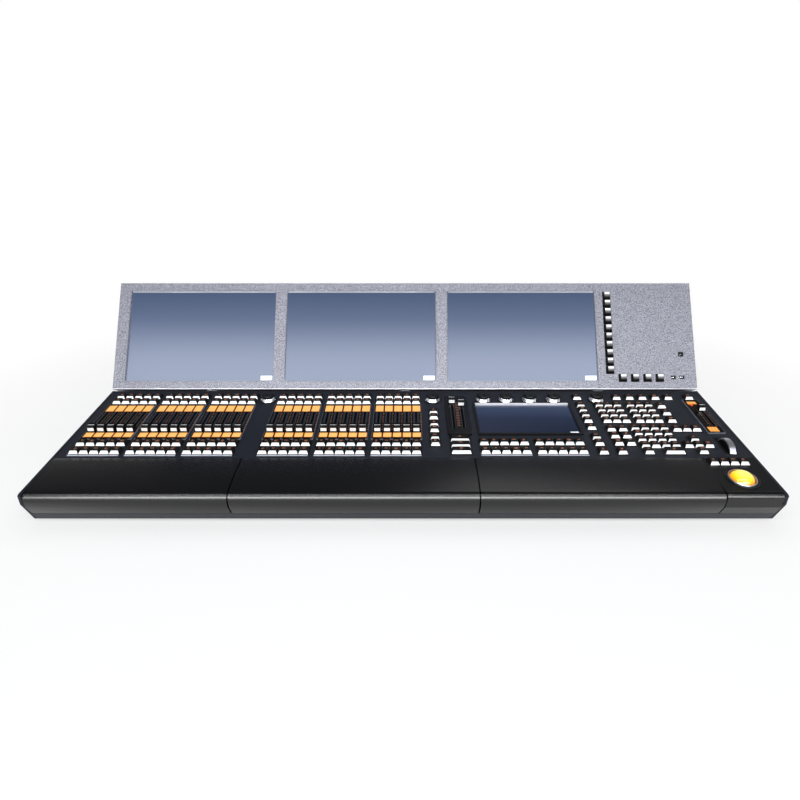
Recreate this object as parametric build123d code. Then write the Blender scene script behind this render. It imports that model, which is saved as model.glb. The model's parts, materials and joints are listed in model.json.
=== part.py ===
"""Lighting control desk: a long sloping control surface with fader banks, key
clusters, encoders and a trackball, and a tilting wing with three screens behind it.

Millimetres, +X to the operator's right, +Y to the back, +Z up.  The desk is drawn
with y = 0 at the nose of the armrests and z = 0 under the base pan, and is moved
as a whole so that its origin is at the middle of its footprint, on the surface.
"""
import os
from math import cos, radians, sin

from build123d import *

# ------------------------------------------------------------ driving dimensions
WIDTH = 1290.0            # over the end cheeks
DEPTH = 540.0             # nose of the armrests to the back of the cheeks
CHEEK = 5.0               # end cheek thickness
SHEET = 2.0               # folded sheet of base pan and rear deck
PLATE = 3.0               # control panel, armrest and housing wall
SEAM = 0.5                # gap between neighbouring covers
FOOT_H = 6.0
FOOT_R = 15.0
DECK_H = 70.0             # top of the rear deck above the base
REAR_INSET = 10.0         # rear panel in front of the ends of the cheeks

SLOPE = 6.17              # control panel, degrees above level
PANEL_Y = 98.0            # where the panel's s = 0 line lies
PANEL_Z = 72.0
PANEL_START = 5.0         # seam behind the armrests
PANEL_END = 244.5         # back edge of the plate
RAIL_END = 247.5          # back edge of the rail behind the plate, clear of the tilting wing
CHEEK_PROUD = 0.3         # cheek edge above the panel
NOSE_TOP = 61.4           # height where the armrest rolls over
NOSE_FRONT = 53.5
LIP_TOP = 16.5            # top of the base pan's front lip
LIP_Y = 11.5
FLOOR_Y = 19.0            # front edge of the floor

WING_Y = 344.7            # lower front edge of the wing
WING_Z = 103.0
WING_LEAN = 56.5          # wing face, degrees above level
WING_H = 244.0
WING_T = 38.0
BEZEL_T = 4.0
COVER_WALL = 2.5

PITCH = 19.05             # key pitch
KEY_W = 17.6              # key skirt, across
KEY_D = 17.6              # key skirt, front to back
KEY_H = 6.5               # top of a key above the panel
KEY_FOOT = 1.5            # top of a key's upright skirt
CROWN_D = 11.9            # crown of a key, front to back
CROWN_BACK = 1.4          # crown in from the back of the skirt
CROWN_SIDE = 2.6          # crown in from each side of the skirt
KEY_TRAVEL = 2.5
KEY_GAP = 0.5             # round a cluster of keys in its opening
BEZEL_MARGIN = 2.5        # raised rim round a cluster
BEZEL_H = 0.6
STRIP_W = 2.2             # light pipe in front of a row of keys
STRIP_H = 1.4

GROUP = 5                 # playbacks in a group
GROUP_PITCH = 5.5 * PITCH
BANK_X = (-611.0, -262.1)  # first playback of each bank
GROUPS = 3                # groups in a bank

FRAME_H = 3.0             # fader frame above the panel
SLOT_W = 3.4
STEM_W = 2.0
STEM_L = 8.0
CAP_W = 12.5
CAP_L = 14.0
CAP_H = 12.0
CAP_BASE = 4.0            # underside of a cap above the panel
LENS_T = 0.5
LENS_W = 16.4             # label lens, across
LENS_SHIFT = 0.8          # label lens to the right of its fader
LENS_S = ((66.6, 81.4), (158.3, 181.1))     # front and back edge of each row of lenses

ENCODER_S = 212.0
ENCODER_R = 16.5
ENCODER_H = 14.0
SKIRT_LOW = 1.2           # underside of a knob's skirt
SKIRT_H = 7.5             # top of a knob's skirt
DISH_R = 20.0
DISH_T = 0.8
DISH_START = 195.3        # front edge of a dish, cut square to clear what is in front
SHAFT_R = 3.0
RUNNING = 0.05            # radial clearance of shafts and pins

BALL_R = 22.0
BALL_X = 590.0
BALL_S = -53.0
BALL_N = -9.5            # ball centre below the housing's face

WHEEL_R = 30.0
WHEEL_W = 11.5
WHEEL_X = 610.5
WHEEL_S = 42.0
WELL_LEFT = 7.2           # well left of the wheel
WHEEL_N = -18.0

HINGE_T = -8.0            # hinge axis in the wing's own directions
HINGE_N = -19.0
HINGE_X = (-430.0, 0.0, 430.0)
PIN_R = 4.0

# ------------------------------------------------------------------- frames
PANEL = Location((0, PANEL_Y, PANEL_Z), (SLOPE, 0, 0))
WING = Location((0, WING_Y, WING_Z), (WING_LEAN, 0, 0))
TO_FOOTPRINT = Pos(0, -DEPTH / 2, FOOT_H)
HALF = WIDTH / 2
INNER = HALF - CHEEK - SEAM

parts = {}


def span(x0, x1, y0, y1, z0, z1):
    """A box between two corners."""
    centre = Pos((x0 + x1) / 2, (y0 + y1) / 2, (z0 + z1) / 2)
    return centre * Box(x1 - x0, y1 - y0, z1 - z0)


def disc(x, y, z0, z1, radius):
    """An upright cylinder from z0 to z1."""
    return Pos(x, y, (z0 + z1) / 2) * Cylinder(radius, z1 - z0)


def bar(x0, x1, y, z, radius):
    """A cylinder along X."""
    return Pos((x0 + x1) / 2, y, z) * Rot(0, 90, 0) * Cylinder(radius, x1 - x0)


def profile(points, x0, x1):
    """A side outline of straight lines, drawn out along X."""
    face = make_face(Polyline(*points, close=True))
    return extrude(Plane.YZ.offset(x0) * face, amount=x1 - x0)


def panel_height(y):
    """Height of the control panel's plane at a depth y."""
    return PANEL_Z + (y - PANEL_Y) * sin(radians(SLOPE)) / cos(radians(SLOPE))


def solids_of(shape):
    return list(shape.solids())


def keep(node, shapes, place=Pos(0, 0, 0)):
    """Collect the solids of a node, put in place in the desk."""
    if not isinstance(shapes, (list, tuple)):
        shapes = [shapes]
    found = [s for shape in shapes for s in solids_of(shape)]
    parts[node] = [TO_FOOTPRINT * (place * s) for s in found]


def union(shapes):
    result = shapes[0]
    return result if len(shapes) == 1 else result.fuse(*shapes[1:])


# ------------------------------------------------------------ key layout
def grid(x, columns, s, rows, pitch_x=PITCH, pitch_s=PITCH, width=KEY_W):
    """A cluster of keys: centre of the first column, front edge of the first row."""
    return {"x": x, "columns": columns, "s": s, "rows": rows,
            "px": pitch_x, "ps": pitch_s, "w": width}


def single(x, s, width=KEY_W):
    return grid(x, 1, s, 1, width=width)


BANK_S = (15.2, 40.5)     # front edges of a bank's two front rows
FUNCTION_S = (16.0, 43.3)


def bank_keys(first):
    found = []
    for group in range(GROUPS):
        x = first + group * GROUP_PITCH
        found += [grid(x, GROUP, s, 1) for s in BANK_S]
        found.append(grid(x, GROUP, 191.5, 2, pitch_s=20.5))
    return found


FUNCTION_X = (151.8, 151.8 + GROUP_PITCH)
TOP_ROW_X = (455.2, 483.1, 510.4, 538.5, 566.1, 611.0)

COMMAND_KEYS = [grid(59.5, 1, s, 2) for s in (41.3, 87.0, 132.5)]
COMMAND_KEYS += [grid(107.0, 1, 15.7, 3, width=37.0)]
COMMAND_KEYS += [grid(x, GROUP, s, 1) for x in FUNCTION_X for s in FUNCTION_S]

PROGRAM_KEYS = [single(370.0, 14.5), grid(370.0, 1, 41.4, 2), single(370.0, 95.0)]
PROGRAM_KEYS += [grid(370.0, 1, 119.6, 4), single(370.0, 209.0)]
PROGRAM_KEYS += [single(x, 209.0) for x in TOP_ROW_X]
PROGRAM_KEYS += [grid(408.5, 3, 119.6, 4), grid(474.0, 3, 119.6, 4)]
PROGRAM_KEYS += [single(538.6, s) for s in (120.1, 147.2, 174.3)]
PROGRAM_KEYS += [grid(407.0, 2, 42.0, 3, pitch_x=22.7, pitch_s=23.5), single(405.0, 14.5)]
PROGRAM_KEYS += [grid(454.5, 4, 34.05, 4), single(454.5, 15.0), single(502.0, 15.0, 36.5)]
PROGRAM_KEYS += [grid(536.15, 3, 88.7, 1), grid(536.15, 3, 34.55, 1)]
PROGRAM_KEYS += [single(555.2, 53.6), single(555.2, 15.5)]
BALL_KEYS = [grid(559.0, 4, -18.0, 1, pitch_x=18.0, width=16.6)]
PANEL_KEYS = bank_keys(BANK_X[0]) + bank_keys(BANK_X[1]) + COMMAND_KEYS + PROGRAM_KEYS

WING_COLUMN = grid(455.0, 1, 34.4, 10, pitch_s=19.0)
WING_ROW = grid(482.0, 4, 16.6, 1, pitch_x=27.2)
PORTS = (594.1, 613.3)


def cluster_span(c, margin, z0, z1):
    """The box round a cluster, with a margin."""
    half = c["w"] / 2 + margin
    last_x = c["x"] + (c["columns"] - 1) * c["px"]
    last_s = c["s"] + (c["rows"] - 1) * c["ps"] + KEY_D
    return span(c["x"] - half, last_x + half, c["s"] - margin, last_s + margin, z0, z1)


def key_cap(width):
    """A key at x = 0 with its front edge at s = 0: skirt, sloping cap and stem."""
    middle = KEY_D / 2
    skirt = span(-width / 2, width / 2, 0, KEY_D, -2.0, KEY_FOOT)
    foot = Pos(0, middle, KEY_FOOT) * Rectangle(width, KEY_D)
    crown_middle = KEY_D - CROWN_BACK - CROWN_D / 2
    crown = Pos(0, crown_middle, KEY_H) * Rectangle(width - 2 * CROWN_SIDE, CROWN_D)
    cap = loft([foot.face(), crown.face()])
    stem = disc(0, middle, -9.0, -2.0, 3.0)
    return skirt.fuse(cap, stem)


def keys_of(clusters):
    caps = {}
    found = []
    for c in clusters:
        if c["w"] not in caps:
            caps[c["w"]] = key_cap(c["w"])
        for row in range(c["rows"]):
            for column in range(c["columns"]):
                place = Pos(c["x"] + column * c["px"], c["s"] + row * c["ps"], 0)
                found.append(place * caps[c["w"]])
    return found


# ------------------------------------------------------------ faders
EXEC_TRAVEL = 60.0
EXEC_REST = 91.5          # cap centre at the bottom of its travel
CROSS_TRAVEL = 100.0
CROSS_LOW = 102.0
CROSS_X = (99.2, 118.3)
CROSS_REST = (197.0, 186.4)
MASTER_X = 615.0
MASTER_REST = 166.4
MASTER_TRAVEL = 60.0
BUTTON_X = (598.5, 616.5)
BUTTONS = ((86.0, 100.8), (187.8, 196.8))   # front and back edge of each
BUTTON_LOW = -0.8
BUTTON_TOP = FRAME_H + 0.7


def playback_x(bank, group):
    start = BANK_X[bank] + group * GROUP_PITCH
    return [start + i * PITCH for i in range(GROUP)]


def slot(x, low, high, z0, z1):
    """The slot that lets a stem run from low to high."""
    reach = STEM_L / 2 + SEAM
    return span(x - SLOT_W / 2, x + SLOT_W / 2, low - reach, high + reach, z0, z1)


def all_slots():
    found = []
    for bank in range(len(BANK_X)):
        for group in range(GROUPS):
            for x in playback_x(bank, group):
                found.append((x, EXEC_REST, EXEC_REST + EXEC_TRAVEL))
    for x in CROSS_X:
        found.append((x, CROSS_LOW, CROSS_LOW + CROSS_TRAVEL))
    found.append((MASTER_X, MASTER_REST - MASTER_TRAVEL, MASTER_REST))
    return found


def fader_cap():
    """A cap at s = 0: waisted block with a finger groove, on a thin stem."""
    half_w = CAP_W / 2
    half_l = CAP_L / 2
    top = CAP_BASE + CAP_H
    side = [(-half_l, CAP_BASE), (half_l, CAP_BASE), (half_l - 1.2, top)]
    side += [(2.6, top), (0, top - 1.8), (-2.6, top), (-half_l + 2.2, top)]
    block = profile(side, -half_w, half_w)
    stem = span(-STEM_W / 2, STEM_W / 2, -STEM_L / 2, STEM_L / 2, -6.0, CAP_BASE)
    return block.fuse(stem)


def make_faders():
    cap = fader_cap()
    for bank in range(len(BANK_X)):
        for group in range(GROUPS):
            number = bank * GROUPS + group + 1
            caps = [Pos(x, EXEC_REST, 0) * cap for x in playback_x(bank, group)]
            keep(f"playback_fader_caps_{number}", caps, PANEL)
    keep("crossfader_cap_a", Pos(CROSS_X[0], CROSS_REST[0], 0) * cap, PANEL)
    keep("crossfader_cap_b", Pos(CROSS_X[1], CROSS_REST[1], 0) * cap, PANEL)
    keep("grand_master_cap", Pos(MASTER_X, MASTER_REST, 0) * cap, PANEL)

    modules = []
    for x, low, high in all_slots():
        body = span(x - 5, x + 5, low - 12, high + 12, -26.0, -PLATE)
        modules.append(body - slot(x, low, high, -8.0, 0.0))
    keep("fader_modules", modules, PANEL)


def make_fader_frames():
    slots = all_slots()
    frames = []
    for bank in range(len(BANK_X)):
        for group in range(GROUPS):
            xs = playback_x(bank, group)
            plate = span(xs[0] - 10.3, xs[-1] + 10.3, 61.2, 187.8, 0, FRAME_H)
            cuts = [slot(x, lo, hi, -1, FRAME_H + 1) for x, lo, hi in slots if x in xs]
            frames.append(plate.cut(*cuts))
    cross = span(85.0, 132.3, 76.0, 221.0, 0, FRAME_H)
    cross = fillet(cross.edges().filter_by(Axis.Z), 6.0)
    cuts = [slot(x, lo, hi, -1, FRAME_H + 1) for x, lo, hi in slots if x in CROSS_X]
    frames.append(cross.cut(*cuts))
    master = span(593.5, 625.5, 82.0, 205.0, 0, FRAME_H)
    cuts = [slot(x, lo, hi, -1, FRAME_H + 1) for x, lo, hi in slots if x == MASTER_X]
    cuts += [button_block(b, SEAM, -1, FRAME_H + 1) for b in BUTTONS]
    frames.append(master.cut(*cuts))
    keep("fader_frames", frames, PANEL)


def button_block(edges, gap, z0, z1):
    """A master button between its front and back edge, or its opening with a gap."""
    x0, x1 = BUTTON_X
    return span(x0 - gap, x1 + gap, edges[0] - gap, edges[1] + gap, z0, z1)


def make_label_lenses():
    lenses = []
    for bank in range(len(BANK_X)):
        for group in range(GROUPS):
            for x in playback_x(bank, group):
                for s0, s1 in LENS_S:
                    lens = span(-LENS_W / 2, LENS_W / 2, s0, s1, FRAME_H, FRAME_H + LENS_T)
                    lenses.append(Pos(x + LENS_SHIFT, 0, 0) * lens)
    keep("label_lenses", lenses, PANEL)


# ------------------------------------------------------------ case
def nose_face(crowned):
    """Side outline of an armrest: crowned top, rolled nose, front falling back."""
    back = PANEL_Y + PANEL_START - 2 * SEAM
    top = panel_height(back)
    if crowned:
        upper = ThreePointArc((back, top), (58.0, 69.9), (9.0, NOSE_TOP))
        roll_from = (9.0, NOSE_TOP)
    else:
        roll_from = (11.0, panel_height(11.0))
        upper = Line((back, top), roll_from)
    roll = ThreePointArc(roll_from, (2.4, 59.2), (0.0, NOSE_FRONT))
    lower = Polyline((0.0, NOSE_FRONT), (1.6, 36.0), (LIP_Y, LIP_TOP), (back, LIP_TOP), (back, top))
    return make_face([upper, roll, *lower.edges()])


def armrest(x0, x1, crowned=True):
    """A hollow moulding of the nose outline."""
    outline = nose_face(crowned)
    hollow = offset(outline, amount=-PLATE)
    if crowned:
        outer = extrude(Plane.YZ.offset(x0) * outline, amount=x1 - x0)
        inner = extrude(Plane.YZ.offset(x0 - 1) * hollow, amount=x1 - x0 + 2)
        return outer - inner
    outer = extrude(Plane.YZ.offset(x0) * outline, amount=x1 - x0)
    inner = extrude(Plane.YZ.offset(x0 + PLATE) * hollow, amount=x1 - x0 - 2 * PLATE)
    return outer - inner


ARMREST_SEAMS = (-296.0, 130.0, 544.0)


def make_case():
    left, middle, right = ARMREST_SEAMS
    keep("armrest_left", armrest(-INNER, left - SEAM))
    keep("armrest_middle", armrest(left + SEAM, middle - SEAM))
    keep("armrest_right", armrest(middle + SEAM, right - SEAM))

    housing = armrest(right + SEAM, INNER, crowned=False)
    hole = PANEL * disc(BALL_X, BALL_S, -6.0, 2.0, BALL_R + 0.6)
    opening = PANEL * cluster_span(BALL_KEYS[0], KEY_GAP, -6.0, 2.0)
    keep("trackball_housing", housing - hole - opening)

    lip = [(LIP_Y + 0.2, LIP_TOP - SEAM), (FLOOR_Y, 0), (DEPTH - REAR_INSET - SHEET, 0)]
    lip += [(DEPTH - REAR_INSET - SHEET, SHEET), (FLOOR_Y + 1.4, SHEET), (LIP_Y + 2.4, LIP_TOP - SEAM)]
    pan = [profile(lip, -INNER, INNER)]
    for x, end in ((-293.0, 280.0), (76.6, 325.0), (387.5, 325.0)):
        rib = [(110.0, SHEET), (end, SHEET), (end, panel_height(end) - PLATE - 0.1)]
        rib += [(110.0, panel_height(110.0) - PLATE - 0.1)]
        pan.append(profile(rib, x - SHEET / 2, x + SHEET / 2))
    keep("base_pan", union(pan))

    rail_y = PANEL_Y + RAIL_END * cos(radians(SLOPE))
    plate_y = PANEL_Y + (PANEL_END + SEAM) * cos(radians(SLOPE))
    deck = [(plate_y, panel_height(plate_y)), (rail_y, panel_height(rail_y)), (rail_y, DECK_H)]
    deck += [(DEPTH - REAR_INSET, DECK_H), (DEPTH - REAR_INSET, DECK_H - SHEET)]
    deck += [(rail_y - SHEET, DECK_H - SHEET), (rail_y - SHEET, panel_height(rail_y) - PLATE)]
    deck += [(plate_y, panel_height(plate_y) - PLATE)]
    keep("rear_deck", profile(deck, -INNER, INNER))

    side = [(0, 60.0), (0, 43.0), (FLOOR_Y, 0), (DEPTH, 0), (DEPTH, DECK_H), (rail_y + 6, DECK_H)]
    side += [(rail_y, panel_height(rail_y) + CHEEK_PROUD)]
    side += [(4.0, panel_height(4.0) + CHEEK_PROUD)]
    keep("end_cheek_left", profile(side, -HALF, -HALF + CHEEK))
    keep("end_cheek_right", profile(side, HALF - CHEEK, HALF))

    rear_y = DEPTH - REAR_INSET
    rear = span(-INNER, INNER, rear_y - SHEET, rear_y, SHEET, DECK_H - SHEET)
    rear = rear.cut(*[socket_body(c, SEAM / 2) for c in REAR_SOCKETS])
    rear = rear.cut(*[span(x, x + 4, rear_y - 9, rear_y + 9, 20, 54) for x in VENT_X])
    keep("rear_panel", rear)

    feet = [disc(x, y, -FOOT_H, 0, FOOT_R) for x in (-560, 0, 560) for y in (60, 490)]
    keep("rubber_feet", feet)
    screw_y = rear_y - 6
    keep("case_screws", [disc(x, screw_y, DECK_H, DECK_H + 1.8, 3.2) for x in range(-600, 601, 120)])


# name, centre x, centre z, width, height of the body, width and height of the mouth
REAR_SOCKETS = [(-440 + 44 * i, 36, 26, 31, 0, 0) for i in range(6)]
REAR_SOCKETS += [(-120, 36, 26, 31, 14, 12), (-76, 36, 26, 31, 14, 12)]
REAR_SOCKETS += [(10, 36, 18, 16, 13, 6), (40, 36, 18, 16, 13, 6), (470, 36, 50, 30, 25, 18)]
VENT_X = [180 + 9 * i for i in range(22)]


def socket_body(item, gap=0.0):
    x, z, w, h = item[:4]
    rear_y = DEPTH - REAR_INSET
    return span(x - w / 2 - gap, x + w / 2 + gap, rear_y - 18, rear_y + 2, z - h / 2 - gap, z + h / 2 + gap)


def make_inside():
    sockets = []
    rear_y = DEPTH - REAR_INSET
    for item in REAR_SOCKETS:
        x, z, w, h, mouth_w, mouth_h = item
        body = socket_body(item)
        if mouth_w:
            body -= span(x - mouth_w / 2, x + mouth_w / 2, rear_y - 10, rear_y + 3,
                         z - mouth_h / 2, z + mouth_h / 2)
        else:
            ring = Pos(x, rear_y + 2, z) * Rot(90, 0, 0) * Cylinder(10.0, 6.0)
            core = Pos(x, rear_y + 2, z) * Rot(90, 0, 0) * Cylinder(8.4, 6.0)
            body = body - (ring - core)
        sockets.append(body)
    keep("rear_connectors", sockets)

    board = span(-260, 150, 385, 495, 8, 10)
    chips = [span(-260 + 60 * i, -230 + 60 * i, 420, 450, 10, 16) for i in range(1, 6)]
    posts = [disc(x, y, SHEET, 8, 3) for x in (-250, 140) for y in (392, 488)]
    keep("main_board", union([board] + chips + posts))
    keep("power_supply", span(260, 420, 385, 500, SHEET, 52))


def light_strip(x, row):
    """A light pipe in front of a row of keys, behind the rim of the row."""
    back = row - BEZEL_MARGIN - 0.1
    last = x + (GROUP - 1) * PITCH
    return span(x - KEY_W / 2, last + KEY_W / 2, back - STRIP_W, back, 0, STRIP_H)


def make_panel():
    plate = span(-INNER, INNER, PANEL_START, PANEL_END, -PLATE, 0)
    cuts = [cluster_span(c, KEY_GAP, -PLATE - 1, 1) for c in PANEL_KEYS]
    cuts += [slot(x, lo, hi, -PLATE - 1, 1) for x, lo, hi in all_slots()]
    cuts += [disc(x, ENCODER_S, -PLATE - 1, 1, 6.0) for x in ENCODER_X]
    cuts += [button_block(b, SEAM, -PLATE - 1, 1) for b in BUTTONS]
    cuts.append(span(*SCREEN_SPAN[:2], *SCREEN_SPAN[2:], -PLATE - 1, 1))
    cuts.append(wheel_slot())
    keep("control_panel", plate.cut(*cuts), PANEL)

    rims = union([cluster_span(c, BEZEL_MARGIN, 0, BEZEL_H) for c in PANEL_KEYS])
    holes = [cluster_span(c, KEY_GAP, -1, BEZEL_H + 1) for c in PANEL_KEYS]
    holes += [disc(x, ENCODER_S, -1, BEZEL_H + 1, DISH_R + SEAM) for x in ENCODER_X]
    keep("key_bezels", rims.cut(*holes), PANEL)

    strips = []
    for first in BANK_X:
        for group in range(GROUPS):
            strips.append(light_strip(first + group * GROUP_PITCH, BANK_S[0]))
    for x in FUNCTION_X:
        strips.append(light_strip(x, FUNCTION_S[0]))
    keep("light_strips", strips, PANEL)

    boards = [span(-628, -300, 10, 60, -16, -14.4), span(-628, -320, 186, 236, -16, -14.4)]
    boards += [span(-280, 40, 10, 60, -16, -14.4), span(-274, 36, 186, 236, -16, -14.4)]
    boards += [span(46, 72, 36, 172, -16, -14.4), span(86, 350, 10, 76, -16, -14.4)]
    boards += [span(354, 384, 10, 232, -16, -14.4), span(393, 588, 10, 198, -16, -14.4)]
    boards += [span(440, 588, 200, 232, -16, -14.4), span(596, 630, 206, 232, -16, -14.4)]
    switches = []
    for c in PANEL_KEYS:
        for row in range(c["rows"]):
            middle = c["s"] + row * c["ps"] + KEY_D / 2
            last = c["x"] + (c["columns"] - 1) * c["px"]
            switches.append(span(c["x"] - 5, last + 5, middle - 4, middle + 4, -14.4, -11.9))
    keep("key_circuit_boards", union(boards + switches), PANEL)


# ------------------------------------------------------------ command screen
SCREEN_SPAN = (147.0, 346.0, 80.0, 193.0)


def make_command_screen():
    x0, x1, s0, s1 = SCREEN_SPAN
    gap = SEAM / 2
    screen = span(x0 + gap, x1 - gap, s0 + gap, s1 - gap, -7.0, 0.0)
    keep("command_screen", screen, PANEL)
    rim = span(x0 - 3.0, x1 + 3.0, s0 - 3.0, s1 + 2.0, 0, 3.5)
    window = span(x0 + 1.5, x1 - 1.5, s0 + 1.5, s1 - 1.5, -1, 5)
    keep("command_screen_bezel", rim - window, PANEL)


# ------------------------------------------------------------ rotary controls
ENCODER_X = (-293.0, 59.7, 168.6, 217.3, 267.8, 319.2, 411.4)


def make_encoders():
    bodies = []
    dishes = []
    for number, x in enumerate(ENCODER_X, 1):
        at = Pos(x, ENCODER_S, 0)
        skirt = disc(0, 0, SKIRT_LOW, SKIRT_H, ENCODER_R)
        cap = disc(0, 0, SKIRT_H, ENCODER_H, ENCODER_R - 1.5)
        cap = chamfer(cap.edges().filter_by(GeomType.CIRCLE).sort_by(Axis.Z)[-1], 1.2)
        dimple = Pos(0, -8.5, ENCODER_H + 7.5) * Sphere(10.0)
        shaft = disc(0, 0, -12.0, SKIRT_LOW, SHAFT_R)
        keep(f"encoder_knob_{number}", at * (skirt.fuse(cap, shaft) - dimple), PANEL)
        body = span(-7, 7, -7, 7, -18, -PLATE) - disc(0, 0, -13.0, 0, SHAFT_R + RUNNING)
        bodies.append(at * body)
        dish = disc(0, 0, 0, DISH_T, DISH_R) - disc(0, 0, -1, 2, 6.0)
        square = span(-DISH_R, DISH_R, -2 * DISH_R, DISH_START - ENCODER_S, -1, 2)
        dishes.append(at * (dish - square))
    keep("encoder_bodies", bodies, PANEL)
    keep("encoder_dishes", dishes, PANEL)


def make_trackball():
    ball = Pos(BALL_X, BALL_S, BALL_N) * Sphere(BALL_R)
    keep("trackball", ball, PANEL)
    neck = disc(BALL_X, BALL_S, -PLATE, 0, BALL_R + 0.5)
    flange = disc(BALL_X, BALL_S, 0, 1.6, BALL_R + 6.0)
    ring = neck.fuse(flange) - disc(BALL_X, BALL_S, -5, 3, BALL_R - 0.6)
    keep("trackball_ring", ring, PANEL)
    cup = disc(BALL_X, BALL_S, BALL_N - BALL_R - 4.0, -PLATE, BALL_R + 4.0)
    cup = cup - Pos(BALL_X, BALL_S, BALL_N) * Sphere(BALL_R + 0.4)
    cup = cup - disc(BALL_X, BALL_S, BALL_N, 0, BALL_R + 0.5)
    keep("trackball_cup", cup, PANEL)


def wheel_slot():
    """The opening in the panel for the wheel, wider on its left."""
    right = WHEEL_X + WHEEL_W / 2 + 0.7
    left = WHEEL_X - WHEEL_W / 2 - WELL_LEFT
    return span(left, right, WHEEL_S - 26, WHEEL_S + 26, -PLATE - 1, 1)


def make_level_wheel():
    half = WHEEL_W / 2
    rim = bar(WHEEL_X - half, WHEEL_X + half, WHEEL_S, WHEEL_N, WHEEL_R)
    rim = chamfer(rim.edges().filter_by(GeomType.CIRCLE), 1.2)
    axle = bar(WHEEL_X - half - 7, WHEEL_X + half + 7, WHEEL_S, WHEEL_N, SHAFT_R)
    keep("level_wheel", rim.fuse(axle), PANEL)
    cheeks = []
    for x in (WHEEL_X - half - 5.5, WHEEL_X + half + 1.5):
        plate = span(x, x + 4, WHEEL_S - 12, WHEEL_S + 12, WHEEL_N - 8, -PLATE)
        cheeks.append(plate - bar(x - 1, x + 5, WHEEL_S, WHEEL_N, SHAFT_R + RUNNING))
    keep("level_wheel_brackets", cheeks, PANEL)


def make_keys():
    keep("playback_keys_left", keys_of(bank_keys(BANK_X[0])), PANEL)
    keep("playback_keys_right", keys_of(bank_keys(BANK_X[1])), PANEL)
    keep("command_keys", keys_of(COMMAND_KEYS), PANEL)
    keep("program_keys", keys_of(PROGRAM_KEYS + BALL_KEYS), PANEL)
    buttons = [button_block(b, 0, BUTTON_LOW, BUTTON_TOP) for b in BUTTONS]
    keep("master_buttons", buttons, PANEL)
    keep("wing_keys", keys_of([WING_COLUMN, WING_ROW]), WING)


# ------------------------------------------------------------ wing
WINDOWS = ((-619.0, -292.0), (-266.5, 69.0), (95.0, 428.0))
WINDOW_T = (19.0, 225.5)


def port(x, gap, z0, z1):
    return span(x - 5.35 - gap, x + 5.35 + gap, 23.0 - gap, 30.6 + gap, z0, z1)


def lamp_socket(gap, z0, z1):
    return span(607.8 - gap, 619.5 + gap, 73.9 - gap, 84.3 + gap, z0, z1)


def make_wing():
    bezel = span(-HALF, HALF, 0, WING_H, -BEZEL_T, 0)
    cuts = [span(x0, x1, *WINDOW_T, -BEZEL_T - 1, 1) for x0, x1 in WINDOWS]
    cuts.append(cluster_span(WING_COLUMN, KEY_GAP, -BEZEL_T - 1, 1))
    for i in range(WING_ROW["columns"]):
        cuts.append(cluster_span(single(WING_ROW["x"] + i * WING_ROW["px"], WING_ROW["s"]),
                                 KEY_GAP, -BEZEL_T - 1, 1))
    cuts += [port(x, SEAM / 2, -BEZEL_T - 1, 1) for x in PORTS]
    cuts.append(lamp_socket(SEAM / 2, -BEZEL_T - 1, 1))
    keep("monitor_bezel", bezel.cut(*cuts), WING)

    for name, (x0, x1) in zip(("left", "middle", "right"), WINDOWS):
        glass = span(x0 - 5, x1 + 5, WINDOW_T[0] - 5, WINDOW_T[1] + 5, -BEZEL_T - 8, -BEZEL_T)
        keep(f"screen_{name}", glass, WING)

    shell = span(-HALF, HALF, 0, WING_H, -WING_T, -BEZEL_T)
    shell = chamfer(shell.faces().sort_by(Axis.Z)[0].edges().filter_by(Axis.X), 12.0)
    inside = span(-HALF + COVER_WALL, HALF - COVER_WALL, COVER_WALL, WING_H - COVER_WALL,
                  -WING_T + COVER_WALL, -BEZEL_T)
    inside = chamfer(inside.faces().sort_by(Axis.Z)[0].edges().filter_by(Axis.X), 12.0)
    keep("monitor_back_cover", shell - inside, WING)

    sockets = []
    for x in PORTS:
        sockets.append(port(x, 0, -16.0, -0.4) - port(x, -1.2, -12.0, 1))
    lamp = lamp_socket(0, -16.0, -0.4)
    sockets.append(lamp - Pos(613.65, 79.1, -1.0) * Cylinder(3.4, 6.0))
    keep("wing_sockets", sockets, WING)

    arms = []
    forks = []
    for x in HINGE_X:
        barrel = bar(x - 10, x + 10, HINGE_T, HINGE_N, 6.5)
        arm = span(x - 10, x + 10, HINGE_T, 0, HINGE_N - 6.5, HINGE_N + 6.5)
        pin = bar(x - 17, x + 17, HINGE_T, HINGE_N, PIN_R)
        arms.append(barrel.fuse(arm, pin))
        for side in (-1, 1):
            forks.append(fork_plate(x + side * 13.3))
    keep("hinge_arms", arms, WING)
    keep("hinge_forks", forks)


def hinge_axis():
    """Depth and height of the wing's hinge axis."""
    lean = radians(WING_LEAN)
    y = WING_Y + HINGE_T * cos(lean) - HINGE_N * sin(lean)
    z = WING_Z + HINGE_T * sin(lean) + HINGE_N * cos(lean)
    return y, z


def fork_plate(x):
    """One cheek of a hinge fork, standing on the rear deck."""
    y, z = hinge_axis()
    top = bar(x - 2.8, x + 2.8, y, z, 7.0)
    stand = span(x - 2.8, x + 2.8, y - 7, y + 7, DECK_H, z)
    return top.fuse(stand) - bar(x - 4, x + 4, y, z, PIN_R + RUNNING)


def main():
    make_case()
    make_panel()
    make_fader_frames()
    make_label_lenses()
    make_faders()
    make_command_screen()
    make_encoders()
    make_trackball()
    make_level_wheel()
    make_keys()
    make_wing()
    make_inside()
    os.makedirs("parts", exist_ok=True)
    for node, solids in parts.items():
        shape = solids[0] if len(solids) == 1 else Compound(children=solids)
        export_step(shape, f"parts/{node}.step")
    y, z = hinge_axis()
    print(len(parts), "nodes; hinge axis", round(y - DEPTH / 2, 4), round(z + FOOT_H, 4))


main()
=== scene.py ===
import json
from math import cos, pi, radians, sin, sqrt

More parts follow.
